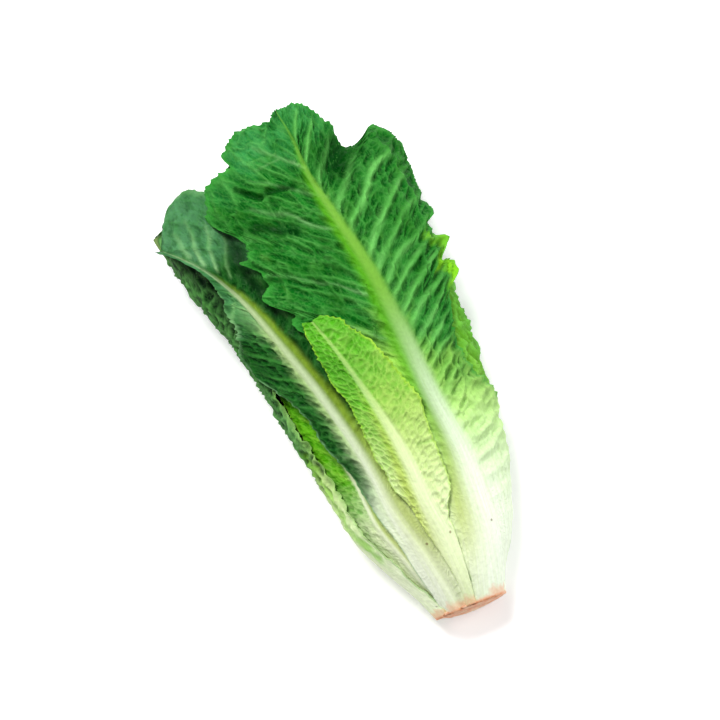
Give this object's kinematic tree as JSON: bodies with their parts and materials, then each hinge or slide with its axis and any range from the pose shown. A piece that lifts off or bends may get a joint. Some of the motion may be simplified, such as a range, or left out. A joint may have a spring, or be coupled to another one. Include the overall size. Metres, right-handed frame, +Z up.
{
  "type": "romaine lettuce heart",
  "caption": "Cut head of romaine lettuce lying on its side: long crinkled green leaves with pale ribs wrap one another and meet at a short cut stem.",
  "frame": {"origin": "centre of the head's box on the surface it lies on, below the middle of its length", "axes": "+Y along the head from the cut stem to the leaf tips, +Z up from the surface, +X to the right looking from the cut end towards the tips"},
  "size_m": [0.1334, 0.2574, 0.0716],
  "materials": {
    "dark_leaf": "satin, crinkled",
    "green_leaf": "satin, crinkled",
    "waxy_leaf": "matt bloom",
    "lime_leaf": "satin, smooth",
    "pale_leaf": "satin, crinkled",
    "heart_leaf": "satin, crinkled",
    "stem": "moist, cut face browned to orange"
  },
  "bodies": {
    "root": {"stem_core": "stem", "small_front_leaf": "pale_leaf", "front_leaf": "green_leaf", "left_leaf": "waxy_leaf", "lime_left_leaf": "lime_leaf", "left_side_leaf": "dark_leaf", "under_leaf": "green_leaf", "right_side_leaf": "green_leaf", "top_inner_leaf": "green_leaf", "right_inner_leaf": "green_leaf", "under_right_inner_leaf": "green_leaf", "under_left_inner_leaf": "green_leaf", "upper_left_heart_leaf": "pale_leaf", "upper_right_heart_leaf": "pale_leaf", "lower_right_heart_leaf": "pale_leaf", "lower_left_heart_leaf": "pale_leaf", "top_heart_leaf": "heart_leaf", "right_heart_leaf": "heart_leaf", "left_heart_leaf": "heart_leaf", "small_right_heart_leaf": "heart_leaf", "small_left_heart_leaf": "heart_leaf"}
  },
  "joints": []
}
